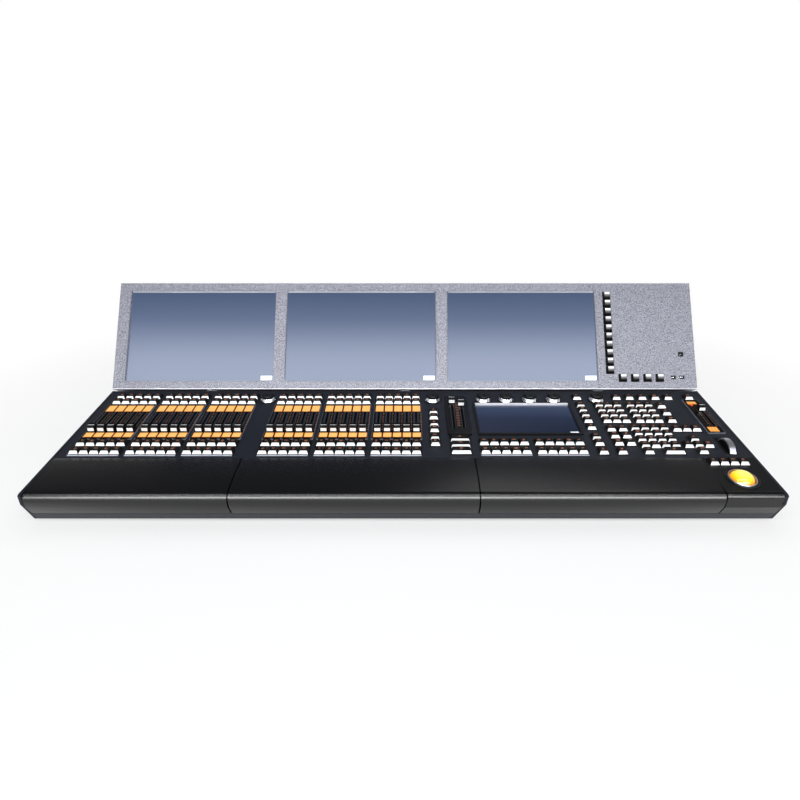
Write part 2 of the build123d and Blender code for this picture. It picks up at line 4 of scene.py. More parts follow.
import bmesh
import bpy
from bpy.props import FloatProperty, FloatVectorProperty, PointerProperty
from mathutils import Matrix, Vector


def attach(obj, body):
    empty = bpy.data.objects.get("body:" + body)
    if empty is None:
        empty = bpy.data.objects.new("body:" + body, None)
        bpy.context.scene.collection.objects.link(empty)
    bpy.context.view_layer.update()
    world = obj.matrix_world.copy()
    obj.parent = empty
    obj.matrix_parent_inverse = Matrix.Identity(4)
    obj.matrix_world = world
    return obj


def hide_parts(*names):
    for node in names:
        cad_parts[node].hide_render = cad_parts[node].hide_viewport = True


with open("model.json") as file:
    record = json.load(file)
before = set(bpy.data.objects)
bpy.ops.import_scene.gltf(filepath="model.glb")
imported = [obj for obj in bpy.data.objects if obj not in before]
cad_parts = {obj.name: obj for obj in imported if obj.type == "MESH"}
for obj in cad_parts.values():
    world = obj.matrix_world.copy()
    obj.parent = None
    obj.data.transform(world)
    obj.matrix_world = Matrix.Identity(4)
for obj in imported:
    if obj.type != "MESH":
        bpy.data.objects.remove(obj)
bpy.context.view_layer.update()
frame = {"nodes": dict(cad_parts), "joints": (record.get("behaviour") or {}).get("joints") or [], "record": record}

bl_info = {
    "name": "Lighting Control Desk",
    "version": (1, 0, 0),
    "blender": (4, 5, 0),
    "location": "3D View > Sidebar > Desk",
    "description": "Finishes and detailed pieces of a lighting control desk",
    "category": "Object",
}

# ------------------------------------------------------------ places, in millimetres
MM = 0.001
JOINTS = {j["name"]: j for j in frame["joints"]}
UP = Vector(JOINTS["program_keys_press"]["axis"])         # out of the control panel
WING_OUT = Vector(JOINTS["wing_keys_press"]["axis"])      # out of the wing's face
SLOPE = Vector((0, 0, 1)).angle(UP)
LEAN = Vector((0, 0, 1)).angle(WING_OUT)
PANEL_ORIGIN = Vector((0, -172.0, 78.0))
WING_ORIGIN = Vector((0, 74.7, 109.0))
SCALE = Matrix.Diagonal((MM, MM, MM, 1))
PANEL = SCALE @ Matrix.Translation(PANEL_ORIGIN) @ Matrix.Rotation(SLOPE, 4, "X")
WING = SCALE @ Matrix.Translation(WING_ORIGIN) @ Matrix.Rotation(LEAN, 4, "X")
DESK_ORIGIN = Vector((0, -270.0, 6.0))
DESK = SCALE @ Matrix.Translation(DESK_ORIGIN)

PITCH = 19.05
KEY_D = 17.6
KEY_H = 6.5
KEY_FOOT = 1.5                                            # where the sides start to slope
CROWN_BACK = KEY_D - 1.4
CROWN_FRONT = CROWN_BACK - 11.9
CROWN_SIDE = 2.6
FACE_START = 1.2                                          # lower edge of the pale face
GROUP = 5
GROUP_PITCH = 5.5 * PITCH
BANK_X = (-611.0, -262.1)
BANK_ROWS = (15.2, 40.5)
UPPER_ROW = 191.5
UPPER_PITCH = 20.5
GROUPS = 3
FRAME_H = 3.0
EXEC_REST = 91.5
EXEC_TRAVEL = 60.0
LENS_W = 16.4
LENS_SHIFT = 0.8
LENS_S = ((66.6, 81.4), (158.3, 181.1))
CROSS_X = (99.2, 118.3)
CROSS_REST = (197.0, 186.4)
MASTER_X = 615.0
MASTER_REST = 166.4
ENCODER_S = 212.0
ENCODER_X = (-293.0, 59.7, 168.6, 217.3, 267.8, 319.2, 411.4)
BALL = Vector((590.0, -53.0, -9.5))
WHEEL = Vector((610.5, 42.0, -18.0))
WINDOWS = ((-619.0, -292.0), (-266.5, 69.0), (95.0, 428.0))
WINDOW_T = (19.0, 225.5)
SCREEN_SPAN = (147.0, 346.0, 80.0, 193.0)
FUNCTION_X = (151.8, 151.8 + GROUP_PITCH)
FUNCTION_ROWS = (16.0, 43.3)
TOP_ROW_X = (455.2, 483.1, 510.4, 538.5, 566.1, 611.0)
TOP_ROW = 209.0
BANK_FRAME = (11.2, 60.3, 188.7)                          # past the outer faders, front and back edge
MASTER_FRAME = (592.6, 626.4, 81.1, 205.9)
KNOB_TOP = 13.8
DIMPLE_AT = 6.6                                           # finger dimple, forward of the knob's axis
DIMPLE_R = 5.0
DIMPLE_DEPTH = 1.6

ARMREST_SEAMS = (-296.0, 130.0, 544.0)
ARMREST_END = 639.5
ARMREST_GAP = 1.1                                         # half of a seam
ARMREST_BACK = 102.0
ARMREST_LOW = 16.6
ARMREST_CROWN = (58.0, 69.9)
ROLL_START = (12.0, 62.1)
ROLL_END = (0.05, 46.0)
SCREW_ROW = (524.0, 71.75)


def grid(x, columns, s, rows, pitch_x=PITCH, pitch_s=PITCH, width=KEY_D):
    """Keys of a cluster as (centre x, front edge s, width)."""
    return [(x + c * pitch_x, s + r * pitch_s, width) for r in range(rows) for c in range(columns)]


def bank_keys(first):
    found = []
    for group in range(GROUPS):
        x = first + group * GROUP_PITCH
        found += [k for s in BANK_ROWS for k in grid(x, GROUP, s, 1)]
        found += grid(x, GROUP, UPPER_ROW, 2, pitch_s=UPPER_PITCH)
    return found


def command_keys():
    found = [k for s in (41.3, 87.0, 132.5) for k in grid(59.5, 1, s, 2)]
    found += grid(107.0, 1, 15.7, 3, width=37.0)
    found += [k for x in FUNCTION_X for s in FUNCTION_ROWS for k in grid(x, GROUP, s, 1)]
    return found


def program_keys():
    found = grid(370.0, 1, 14.5, 1) + grid(370.0, 1, 41.4, 2) + grid(370.0, 1, 95.0, 1)
    found += grid(370.0, 1, 119.6, 4) + grid(370.0, 1, TOP_ROW, 1)
    found += [k for x in TOP_ROW_X for k in grid(x, 1, TOP_ROW, 1)]
    found += grid(408.5, 3, 119.6, 4) + grid(474.0, 3, 119.6, 4)
    found += [k for s in (120.1, 147.2, 174.3) for k in grid(538.6, 1, s, 1)]
    found += grid(407.0, 2, 42.0, 3, pitch_x=22.7, pitch_s=23.5) + grid(405.0, 1, 14.5, 1)
    found += grid(454.5, 4, 34.05, 4) + grid(454.5, 1, 15.0, 1) + grid(502.0, 1, 15.0, 1, width=36.5)
    found += grid(536.15, 3, 88.7, 1) + grid(536.15, 3, 34.55, 1)
    found += grid(555.2, 1, 53.6, 1) + grid(555.2, 1, 15.5, 1)
    found += grid(559.0, 4, -18.0, 1, pitch_x=18.0, width=16.6)
    return found


WING_KEYS = grid(455.0, 1, 34.4, 10, pitch_s=19.0) + grid(482.0, 4, 16.6, 1, pitch_x=27.2)


def playback_x():
    return [b + g * GROUP_PITCH + i * PITCH for b in BANK_X for g in range(GROUPS) for i in range(GROUP)]


# ------------------------------------------------------------ settings a user would change
def colour(name, hex_value, description):
    return FloatVectorProperty(name=name, description=description, subtype="COLOR", size=4,
                               min=0, max=1, default=linear(hex_value))


def linear(hex_value):
    """An sRGB hex colour as linear RGBA."""
    parts = [int(hex_value[i:i + 2], 16) / 255 for i in (1, 3, 5)]
    parts = [p / 12.92 if p <= 0.04045 else ((p + 0.055) / 1.055) ** 2.4 for p in parts]
    return (*parts, 1.0)


class DeskFinishSettings(bpy.types.PropertyGroup):
    """Colours of the desk."""
    wing: colour("Wing coat", "#868894", "Powder coat of the wing")
    panel: colour("Panel coat", "#171b25", "Satin coat of the control panel")
    armrest: colour("Armrest", "#06070a", "Moulded armrests")
    label: colour("Label", "#f0b465", "Lit label windows")
    ball: colour("Ball", "#ffdc14", "Trackball")
    legend: colour("Legend", "#a8694a", "Printed marks on keys and scales")


class DeskShapeSettings(bpy.types.PropertyGroup):
    """Sizes of the added detail."""
    key_bevel: FloatProperty(name="Key bevel", description="Rounding of key edges, mm", default=0.55, min=0.1)
    lip: FloatProperty(name="Screen lip", description="Width of the lip round a screen, mm", default=2.4)
    tick: FloatProperty(name="Tick width", description="Width of a scale mark, mm", default=0.7)
    ribs: FloatProperty(name="Knurl ribs", description="Ribs round a knob", default=72)


# ------------------------------------------------------------ materials
def add(tree, kind, inputs=None, **settings):
    """A node with its settings, its inputs given as values or as sockets to link."""
    node = tree.nodes.new(kind)
    for name, value in settings.items():
        setattr(node, name, value)
    for name, value in (inputs or {}).items():
        socket = node.inputs[name]
        if isinstance(value, bpy.types.NodeSocket):
            tree.links.new(value, socket)
        else:
            socket.default_value = value
    return node


def finish(name, base, rough, metal=0.0, grain=0.0, grain_mm=1.0, mottle=0.12, mottle_mm=2.5, emit=0.0,
           coat=0.0, shine=0.5, stops=None, axis=None, low=0.0, high=1.0, display=False):
    """A finish with a mottled colour and a grain of a real size.

    Stops make a gradient along axis, from low to high.  A display keeps a dark face
    and only glows with the gradient."""
    made = bpy.data.materials.get(name)
    if made:
        return made
    made = bpy.data.materials.new(name)
    made.use_nodes = True
    tree = made.node_tree
    tree.nodes.clear()
    place = add(tree, "ShaderNodeTexCoord").outputs["Object"]
    cloud = add(tree, "ShaderNodeTexNoise", {"Vector": place, "Scale": 1 / (mottle_mm * MM), "Detail": 4.0})
    if stops:
        along = add(tree, "ShaderNodeVectorMath", {0: place, 1: axis}, operation="DOT_PRODUCT")
        span = add(tree, "ShaderNodeMapRange", {"Value": along.outputs["Value"], "From Min": low, "From Max": high})
        ramp = add(tree, "ShaderNodeValToRGB", {"Fac": span.outputs["Result"]})
        ramp.color_ramp.elements[0].color = linear(stops[0])
        ramp.color_ramp.elements[1].color = linear(stops[-1])
        for i, stop in enumerate(stops[1:-1], 1):
            ramp.color_ramp.elements.new(i / (len(stops) - 1)).color = linear(stop)
        plain = ramp.outputs["Color"]
    else:
        plain = base[:3]
    level = add(tree, "ShaderNodeMapRange", {"Value": cloud.outputs["Fac"], "From Min": 0.3, "From Max": 0.7,
                                             "To Min": 1 - mottle, "To Max": 1 + mottle})
    tint = add(tree, "ShaderNodeVectorMath", {0: plain, 1: level.outputs["Result"]}, operation="MULTIPLY")
    face = linear("#06080c") if display else tint.outputs["Vector"]
    shader = add(tree, "ShaderNodeBsdfPrincipled", {"Base Color": face, "Metallic": metal,
                                                    "Roughness": rough, "Specular IOR Level": shine})
    if coat:
        shader.inputs["Coat Weight"].default_value = coat
        shader.inputs["Coat Roughness"].default_value = 0.08
    if emit:
        shader.inputs["Emission Strength"].default_value = emit
        if stops:
            tree.links.new(plain, shader.inputs["Emission Color"])
        else:
            shader.inputs["Emission Color"].default_value = base
    if grain:
        pits = add(tree, "ShaderNodeTexNoise", {"Vector": place, "Scale": 1 / (grain_mm * MM), "Detail": 2.0})
        bump = add(tree, "ShaderNodeBump", {"Height": pits.outputs["Fac"], "Strength": grain,
                                            "Distance": 0.3 * MM})
        tree.links.new(bump.outputs["Normal"], shader.inputs["Normal"])
    end = add(tree, "ShaderNodeOutputMaterial")
    tree.links.new(shader.outputs[0], end.inputs[0])
    return made


def colours():
    return bpy.context.scene.desk_finish


def shapes():
    return bpy.context.scene.desk_shape


def powder_coat():
    # textured polyester powder on aluminium: pale sparkle over grey, grain drawn at 2 mm so that it shows
    return finish("wing_textured_powder_coat", colours().wing, 0.5, 0.15, 1.0, 1.2, mottle=0.75, mottle_mm=2.0)


def painted_highlight_strip():
    # painted highlight: a pale satin line, faintly glowing, standing in for the light caught along an edge of the
    # coated sheet and the reflection along the wing's bottom edge
    return finish("pale_painted_highlight", linear("#e4e6ee"), 0.35, 0.1, 0.1, 2.0, 0.05, emit=0.1)


def frame_painted_highlight():
    # painted highlight: a thin grey line painted round the polished rim of a black acrylic frame, standing in for
    # its glint
    return finish("painted_highlight_frame_rim", linear("#80838b"), 0.25, 0.2, 0.0, 2.0, 0.05)


def panel_coat():
    # satin navy powder on the control plate: even, slightly speckled
    return finish("panel_satin_powder_coat", colours().panel, 0.5, 0.0, 0.25, 0.9, 0.14, shine=0.25)


def case_coat():
    # dark grey-blue satin powder on the folded sheet of the case
    return finish("case_satin_powder_coat", linear("#2a2c35"), 0.45, 0.0, 0.3, 1.2, 0.12, shine=0.3)


def armrest_moulding():
    # black polyurethane skin: fine leather-like grain drawn at 1.6 mm, and a soft highlight on the roll
    return finish("armrest_soft_moulding", colours().armrest, 0.27, 0.0, 0.3, 1.6, 0.3, shine=0.5)


def black_abs():
    # moulded black ABS: satin with little texture
    return finish("black_moulded_abs", linear("#08090a"), 0.42, 0.0, 0.15, 0.8, 0.15, shine=0.25)


def gloss_frame():
    # polished black acrylic of the fader frames
    return finish("black_polished_acrylic", linear("#060708"), 0.25, 0.0, 0.0, 3.0, 0.1, shine=0.25)


def key_black():
    # double-shot key plastic: dark crown with a soft gloss
    return finish("key_crown_abs", linear("#060607"), 0.38, 0.0, 0.1, 0.6, 0.15, shine=0.2)


def key_white():
    # pale translucent key face: clean and slightly glossy; its faint glow is painted light, and on the wing keys'
    # crowns it is a painted highlight band
    return finish("key_face_and_painted_highlight", linear("#f4f5f7"), 0.28, 0.0, 0.0, 4.0, 0.03, emit=0.3)


def key_half_lit():
    # the same face plastic where less of the lamp reaches it
    return finish("key_face_half_lit", linear("#8f8f93"), 0.3, 0.0, 0.0, 4.0, 0.03)


def key_painted_shade():
    # painted shade: dark band at the foot of a wing key's crown, where the glossy dark key catches less light
    return finish("wing_key_painted_shade", linear("#3a3a3d"), 0.3, 0.0, 0.0, 4.0, 0.03)


def legend_ink():
    # pad-printed amber ink, with a faint painted glow
    return finish("amber_printed_ink_painted_glow", colours().legend, 0.5, 0.0, 0.0, 1.0, 0.1, emit=0.15)


def label_lens():
    # backlit amber lens: even glow
    return finish("amber_lit_lens", colours().label, 0.45, 0.0, 0.0, 6.0, 0.06, emit=0.2, shine=0.1)


def label_rim():
    # darker amber edge of a label window, where the lens meets its frame
    return finish("amber_window_edge", linear("#b4652e"), 0.4, 0.0, 0.0, 6.0, 0.06, emit=0.1, shine=0.1)


def light_pipe():
    # frosted clear acrylic strip
    return finish("frosted_light_pipe", linear("#b9bec8"), 0.4, 0.0, 0.0, 5.0, 0.05, emit=0.05)


def bright_metal():
    # turned aluminium: bright, with fine marks
    return finish("turned_aluminium", linear("#d3d6dc"), 0.24, 1.0, 0.08, 0.7, 0.06)


def wheel_metal():
    # bead-blasted aluminium rim: mid grey, soft gloss
    return finish("blasted_aluminium_wheel", linear("#b4b7be"), 0.34, 0.9, 0.1, 0.8, 0.08)


def guide_rail():
    # satin black anodised guides: dark grey with a soft sheen
    return finish("black_anodised_guide", linear("#2b2c30"), 0.38, 0.3, 0.0, 1.0, 0.08)


def ball_resin():
    # polished resin ball lit from below; its yellow crown turning orange at the ring is a painted glow gradient
    crown = PANEL @ (BALL + Vector((0, 0, 21.0)))
    ring = PANEL @ (BALL + Vector((0, 0, 8.0)))
    return finish("lit_trackball_resin", None, 0.15, 0.0, 0.0, 8.0, 0.03, emit=0.4, coat=0.3,
                  stops=("#e8730a", "#fbb414", "#ffdc24", "#fff06a"), axis=UP, low=ring.dot(UP), high=crown.dot(UP))


def amber_button():
    # translucent amber cap of a lit button
    return finish("amber_button_plastic", linear("#f0a04c"), 0.3, 0.0, 0.0, 3.0, 0.05, emit=0.3)


def red_mark():
    # red-orange lit pointer
    return finish("red_pointer_lens", linear("#dc4a1e"), 0.3, 0.0, 0.0, 3.0, 0.05, emit=0.35)


def glass_wing():
    # matt-coated display glass showing a plain slate field, darker towards the top; the brightening towards the
    # bottom is a painted reflection of the lamps
    low = (WING @ Vector((0, WINDOW_T[0], 0))).z
    high = (WING @ Vector((0, WINDOW_T[1], 0))).z
    return finish("wing_display_glass", None, 0.22, 0.0, 0.0, 40.0, 0.02, emit=0.9, display=True, shine=0.3,
                  stops=("#95a3bf", "#7484a6", "#5a6b8e", "#4a5c7c"), axis=(0, 0, 1), low=low, high=high)


def glass_command():
    # glossy display glass showing a plain navy field, darker towards the front
    low = (PANEL @ Vector((0, SCREEN_SPAN[2], 0))).y
    high = (PANEL @ Vector((0, SCREEN_SPAN[3], 0))).y
    return finish("command_display_glass", None, 0.2, 0.0, 0.0, 40.0, 0.02, emit=0.85, display=True, shine=0.3,
                  stops=("#141f38", "#1e2944", "#3e4c6a"), axis=(0, 1, 0), low=low, high=high)


def tab_white():
    # plain pale field in a corner of a display
    return finish("display_corner_field", linear("#f2f4f8"), 0.4, 0.0, 0.0, 5.0, 0.02, emit=0.5)


def rubber():
    # moulded feet
    return finish("black_rubber", linear("#101010"), 0.8, 0.0, 0.4, 1.0, 0.15)


def zinc():
    # plated screw heads and tin of the supply
    return finish("zinc_plated_steel", linear("#b4b6ba"), 0.35, 1.0, 0.1, 0.8, 0.1)


def solder_resist():
    # dark green circuit board
    return finish("green_solder_resist", linear("#06100b"), 0.35, 0.0, 0.2, 1.0, 0.2)


# ------------------------------------------------------------ mesh helpers
def mesh_of(build, material, smooth=0.6):
    """A mesh in millimetres made by build(bm), with one material."""
    bm = bmesh.new()
    build(bm)
    bmesh.ops.recalc_face_normals(bm, faces=bm.faces)
    mesh = bpy.data.meshes.new("made")
    bm.to_mesh(mesh)
    bm.free()
    mesh.materials.append(material)
    if smooth:
        mesh.shade_smooth()
        mesh.set_sharp_from_angle(angle=smooth)
    return mesh


def piece(name, meshes, place, body, replaces=()):
    """One finished piece of several meshes, moved into place and riding on a body."""
    bm = bmesh.new()
    result = bpy.data.meshes.new(name)
    for index, mesh in enumerate(meshes):
        first = len(bm.faces)
        bm.from_mesh(mesh)
        bm.faces.ensure_lookup_table()
        for face in bm.faces[first:]:
            face.material_index = index
        result.materials.append(mesh.materials[0])
    bm.transform(place)
    bm.to_mesh(result)
    bm.free()
    for mesh in meshes:
        if mesh.users == 0:
            bpy.data.meshes.remove(mesh)
    made = bpy.data.objects.new(name, result)
    bpy.context.scene.collection.objects.link(made)
    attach(made, body)
    if replaces:
        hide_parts(*replaces)


def loft_rings(bm, rings):
    """Faces between rings of equally many points, with flat ends."""
    made = [[bm.verts.new(p) for p in ring] for ring in rings]
    count = len(made[0])
    for a, b in zip(made, made[1:]):
        for i in range(count):
            bm.faces.new((a[i], a[(i + 1) % count], b[(i + 1) % count], b[i]))
    bm.faces.new(reversed(made[0]))
    bm.faces.new(made[-1])
    return made


def rectangle(x0, x1, y0, y1, z):
    return [(x0, y0, z), (x1, y0, z), (x1, y1, z), (x0, y1, z)]


def block(bm, x0, x1, y0, y1, z0, z1, bevel=0.0):
    """A box with rounded edges."""
    made = loft_rings(bm, [rectangle(x0, x1, y0, y1, z0), rectangle(x0, x1, y0, y1, z1)])
    if bevel:
        verts = made[0] + made[1]
        edges = {e for v in verts for e in v.link_edges}
        bmesh.ops.bevel(bm, geom=list(edges), offset=bevel, segments=2, affect="EDGES", profile=0.7)


def rect_ring(bm, x0, x1, y0, y1, section):
    """A section of (inset, height) points swept round a rectangle with mitred corners."""
    loops = []
    for inset, height in section:
        loops.append([bm.verts.new(p) for p in rectangle(x0 + inset, x1 - inset, y0 + inset, y1 - inset, height)])
    for a, b in zip(loops, loops[1:] + loops[:1]):
        for i in range(4):
            bm.faces.new((a[i], a[(i + 1) % 4], b[(i + 1) % 4], b[i]))


def lathe(bm, outline, segments, ribs=0, depth=0.0, ribbed=(), shift=None):
    """An outline of (radius, height) turned about Z; ribbed rings have a knurl; radius 0 is a pole."""
    rings = []
    for index, (radius, height) in enumerate(outline):
        if radius == 0:
            rings.append([bm.verts.new((0, 0, height))])
            continue
        ring = []
        for i in range(segments):
            angle = 2 * pi * i / segments
            r = radius - (depth * (i % 2) if index in ribbed else 0)
            x, y = r * cos(angle), r * sin(angle)
            ring.append(bm.verts.new((x, y, height + (shift(x, y) if shift else 0))))
        rings.append(ring)
    for a, b in zip(rings, rings[1:]):
        for i in range(segments):
            j = (i + 1) % segments
            if len(a) == 1:
                bm.faces.new((a[0], b[j], b[i]))
            elif len(b) == 1:
                bm.faces.new((a[i], a[j], b[0]))
            else:
                bm.faces.new((a[i], a[j], b[j], b[i]))


def arc(a, b, c, steps):
    """Points from a to c on the circle through a, b and c."""
    ax, ay = a
    bx, by = b
    cx, cy = c
    d = 2 * (ax * (by - cy) + bx * (cy - ay) + cx * (ay - by))
    ux = ((ax**2 + ay**2) * (by - cy) + (bx**2 + by**2) * (cy - ay) + (cx**2 + cy**2) * (ay - by)) / d
    uy = ((ax**2 + ay**2) * (cx - bx) + (bx**2 + by**2) * (ax - cx) + (cx**2 + cy**2) * (bx - ax)) / d
    centre = Vector((ux, uy))
    start = Vector(a) - centre
    turn = start.angle_signed(Vector(c) - centre)
    return [centre + Matrix.Rotation(-turn * i / steps, 2) @ start for i in range(steps + 1)]


# ------------------------------------------------------------ repeated detail by geometry nodes
def bezier(a, b, c, d, steps):
    """Points along a cubic curve in the plane."""
    a, b, c, d = (Vector(p) for p in (a, b, c, d))
    return [a * (1 - t) ** 3 + b * 3 * t * (1 - t) ** 2 + c * 3 * t * t * (1 - t) + d * t ** 3
            for t in (i / steps for i in range(steps + 1))]


def repeat_tree():
    """Instances of a template on points, sized by their attribute, realised, with a finish."""
    name = "desk_repeat"
    if name in bpy.data.node_groups:
        return bpy.data.node_groups[name]
    tree = bpy.data.node_groups.new(name, "GeometryNodeTree")
    for label, kind in (("Places", "Geometry"), ("Template", "Object"), ("Finish", "Material"), ("Size", "Float")):
        tree.interface.new_socket(label, in_out="INPUT", socket_type="NodeSocket" + kind)
    tree.interface.new_socket("Pieces", in_out="OUTPUT", socket_type="NodeSocketGeometry")
    given = add(tree, "NodeGroupInput")
    template = add(tree, "GeometryNodeObjectInfo", {"Object": given.outputs["Template"]})
    stretch = add(tree, "GeometryNodeInputNamedAttribute", {"Name": "stretch"}, data_type="FLOAT_VECTOR")
    size = add(tree, "ShaderNodeVectorMath", {0: stretch.outputs["Attribute"], "Scale": given.outputs["Size"]},
               operation="SCALE")
    put = add(tree, "GeometryNodeInstanceOnPoints", {"Points": given.outputs["Places"],
                                                     "Instance": template.outputs["Geometry"],
                                                     "Scale": size.outputs["Vector"]})
    real = add(tree, "GeometryNodeRealizeInstances", {"Geometry": put.outputs["Instances"]})
    painted = add(tree, "GeometryNodeSetMaterial", {"Geometry": real.outputs["Geometry"],
                                                    "Material": given.outputs["Finish"]})
    end = add(tree, "NodeGroupOutput")
    tree.links.new(painted.outputs["Geometry"], end.inputs["Pieces"])
    return tree


def repeated(points, template, stretches=None):
    """A plain mesh of the template at each point, made by the repeat tree."""
    cloud = bpy.data.meshes.new("places")
    cloud.from_pydata([tuple(p) for p in points], [], [])
    attribute = cloud.attributes.new("stretch", "FLOAT_VECTOR", "POINT")
    for i in range(len(points)):
        attribute.data[i].vector = stretches[i] if stretches else (1, 1, 1)
    holder = bpy.data.objects.new("places", cloud)
    pattern = bpy.data.objects.new("template", template)
    for item in (holder, pattern):
        bpy.context.scene.collection.objects.link(item)
    modifier = holder.modifiers.new("Repeat", "NODES")
    modifier.node_group = repeat_tree()
    values = {"Template": pattern, "Finish": template.materials[0], "Size": 1.0}
    for item in modifier.node_group.interface.items_tree:
        if item.in_out == "INPUT" and item.name in values:
            modifier[item.identifier] = values[item.name]
    graph = bpy.context.evaluated_depsgraph_get()
    made = bpy.data.meshes.new_from_object(holder.evaluated_get(graph), depsgraph=graph)
    for item in (holder, pattern):
        bpy.data.objects.remove(item)
    bpy.data.meshes.remove(cloud)
    if not made.materials:
        made.materials.append(template.materials[0])
    return made


# ------------------------------------------------------------ keys
def key_block(width, bevel):
    """Dark body of a key: skirt, sloping sides and a dished crown."""
    def build(bm):
        w = width / 2
        t = w - CROWN_SIDE
        rings = [rectangle(-w, w, 0, KEY_D, -2.0), rectangle(-w, w, 0, KEY_D, KEY_FOOT),
                 rectangle(-t, t, CROWN_FRONT, CROWN_BACK, KEY_H)]
        loft_rings(bm, rings)
        bmesh.ops.bevel(bm, geom=list(bm.edges), offset=bevel, segments=2, affect="EDGES", profile=0.7)
        top = max(bm.faces, key=lambda f: f.calc_center_median().z)
        bmesh.ops.inset_region(bm, faces=[top], thickness=1.4, depth=-0.3)
    return mesh_of(build, key_black(), 0.7)


def key_face(width, finish_of):
    """Pale plate on the sloping front of a key."""
    def build(bm):
        rings = []
        for z in (FACE_START, KEY_FOOT, KEY_H - 0.45):
            rise = max(0.0, (z - KEY_FOOT) / (KEY_H - KEY_FOOT))
            half = width / 2 - CROWN_SIDE * rise - 0.2
            front = CROWN_FRONT * rise
            rings.append(rectangle(-half, half, front - 0.37, front + 0.1, z))
        loft_rings(bm, rings)
        bmesh.ops.bevel(bm, geom=list(bm.edges), offset=0.12, segments=1, affect="EDGES")
    return mesh_of(build, finish_of(), 0.5)


def crown_plate(s0, s1, finish_of):
    """Plate of painted highlight or painted shade on the crown of a wing key, from s0 to s1."""
    def build(bm):
        half = KEY_D / 2 - CROWN_SIDE - 0.3
        block(bm, -half, half, s0, s1, KEY_H - 0.6, KEY_H + 0.12, 0.15)
    return mesh_of(build, finish_of(), 0.5)


def wing_crown_painted_light(width):
    """Painted light on a wing key's crown: a painted highlight band, a half-lit band and a painted shade band at the
    foot, for keys of one width.
    """
    # the dark crown is painted pale at the back, grey in the middle and dim at the foot, standing in for how light
    # falls on it
    bands = ((11.4, 15.9, key_white), (8.6, 11.3, key_half_lit), (5.8, 8.5, key_painted_shade))
    return [crown_plate(s0, s1, make) for s0, s1, make in bands]


def panel_faces(width):
    return [key_face(width, key_white)]


def mark(material):
    """A small printed bar one millimetre square."""
    def build(bm):
        block(bm, -0.5, 0.5, -0.5, 0.5, -0.02, 0.16)
    return mesh_of(build, material, 0)


def key_piece(name, keys, place, body, node, faces=panel_faces, marks=True):
    bevel = shapes().key_bevel
    meshes = []
    for width in sorted({k[2] for k in keys}):
        points = [(x, s, 0) for x, s, w in keys if w == width]
        meshes.append(repeated(points, key_block(width, bevel)))
        meshes.extend(repeated(points, plate) for plate in faces(width))
    if marks:
        points = []
        stretches = []
        for number, (x, s, width) in enumerate(keys):
            wide = 4.0 + 3.4 * ((number * 7) % 5) / 4
            points.append((x, s + CROWN_FRONT + 7.6, KEY_H - 0.36))
            stretches.append((wide, 1.5, 1))
            if number % 3 == 0:
                points.append((x - 0.6, s + CROWN_FRONT + 4.6, KEY_H - 0.36))
                stretches.append((wide * 0.7, 1.3, 1))
        meshes.append(repeated(points, mark(legend_ink()), stretches))
    piece(name, meshes, place, body, (node,))


# ------------------------------------------------------------ faders
def cap_body():
    """Fader cap: waisted block with ribs either side of its groove."""
    def build(bm):
        side = [(-7, 4), (7, 4), (5.8, 16), (2.2, 16), (0, 14.6), (-2.2, 16), (-4.8, 16)]
        rings = [[(x, y, z) for y, z in side] for x in (-6.25, 6.25)]
        loft_rings(bm, rings)
        bmesh.ops.bevel(bm, geom=list(bm.edges), offset=0.4, segments=1, affect="EDGES")
        for y in (-4.0, -3.0, 3.0, 4.0, 5.0):
            block(bm, -5.6, 5.6, y - 0.25, y + 0.25, 15.6, 16.0)
        block(bm, -1.0, 1.0, -4.0, 4.0, -5.9, 4.2)
    return mesh_of(build, key_black(), 0.6)


def cap_face():
    """Pale front of a fader cap."""
    def build(bm):
        rings = []
        for out in (0.0, 0.3):
            ring = []
            for z, side in ((5.0, -1), (5.0, 1), (11.2, 1), (11.2, -1)):
                ring.append((side * 5.8, -7 + (z - 4) * 2.2 / 12 - out, z))
            rings.append(ring)
        loft_rings(bm, rings)
    return mesh_of(build, key_white(), 0)


def cap_line():
    """Pale pointer line in the groove of a cap."""
    def build(bm):
        block(bm, -5.9, 5.9, -0.35, 0.35, 14.5, 15.1)
    return mesh_of(build, key_white(), 0)


def cap_piece(name, points, node):
    meshes = [repeated(points, cap_body()), repeated(points, cap_face()), repeated(points, cap_line())]
    piece(name, meshes, PANEL, frame_body(node), (node,))


def frame_body(node):
    """The body that a CAD node rides on."""
    return next(name for name, nodes in frame["record"]["behaviour"]["bodies"].items() if node in nodes)


# ------------------------------------------------------------ pieces
def paint_cad():
    """Gives every shown CAD node its finish."""
    finishes = {
        powder_coat: ("monitor_bezel", "monitor_back_cover", "hinge_arms", "hinge_forks"),
        case_coat: ("base_pan", "rear_deck", "rear_panel"),
        panel_coat: ("control_panel", "end_cheek_left", "end_cheek_right"),
        armrest_moulding: ("trackball_housing",),
        black_abs: ("key_bezels", "encoder_dishes", "trackball_cup", "fader_modules", "encoder_bodies",
                    "rear_connectors", "wing_sockets", "level_wheel_brackets", "command_screen_bezel"),
        gloss_frame: ("fader_frames",),
        label_lens: ("label_lenses",),
        light_pipe: ("light_strips",),
        amber_button: ("master_buttons",),
        glass_wing: ("screen_left", "screen_middle", "screen_right"),
        glass_command: ("command_screen",),
        rubber: ("rubber_feet",),
        zinc: ("case_screws", "power_supply"),
        solder_resist: ("main_board", "key_circuit_boards"),
    }
    for make, nodes in finishes.items():
        for node in nodes:
            mesh = frame["nodes"][node].data
            mesh.materials.clear()
            mesh.materials.append(make())


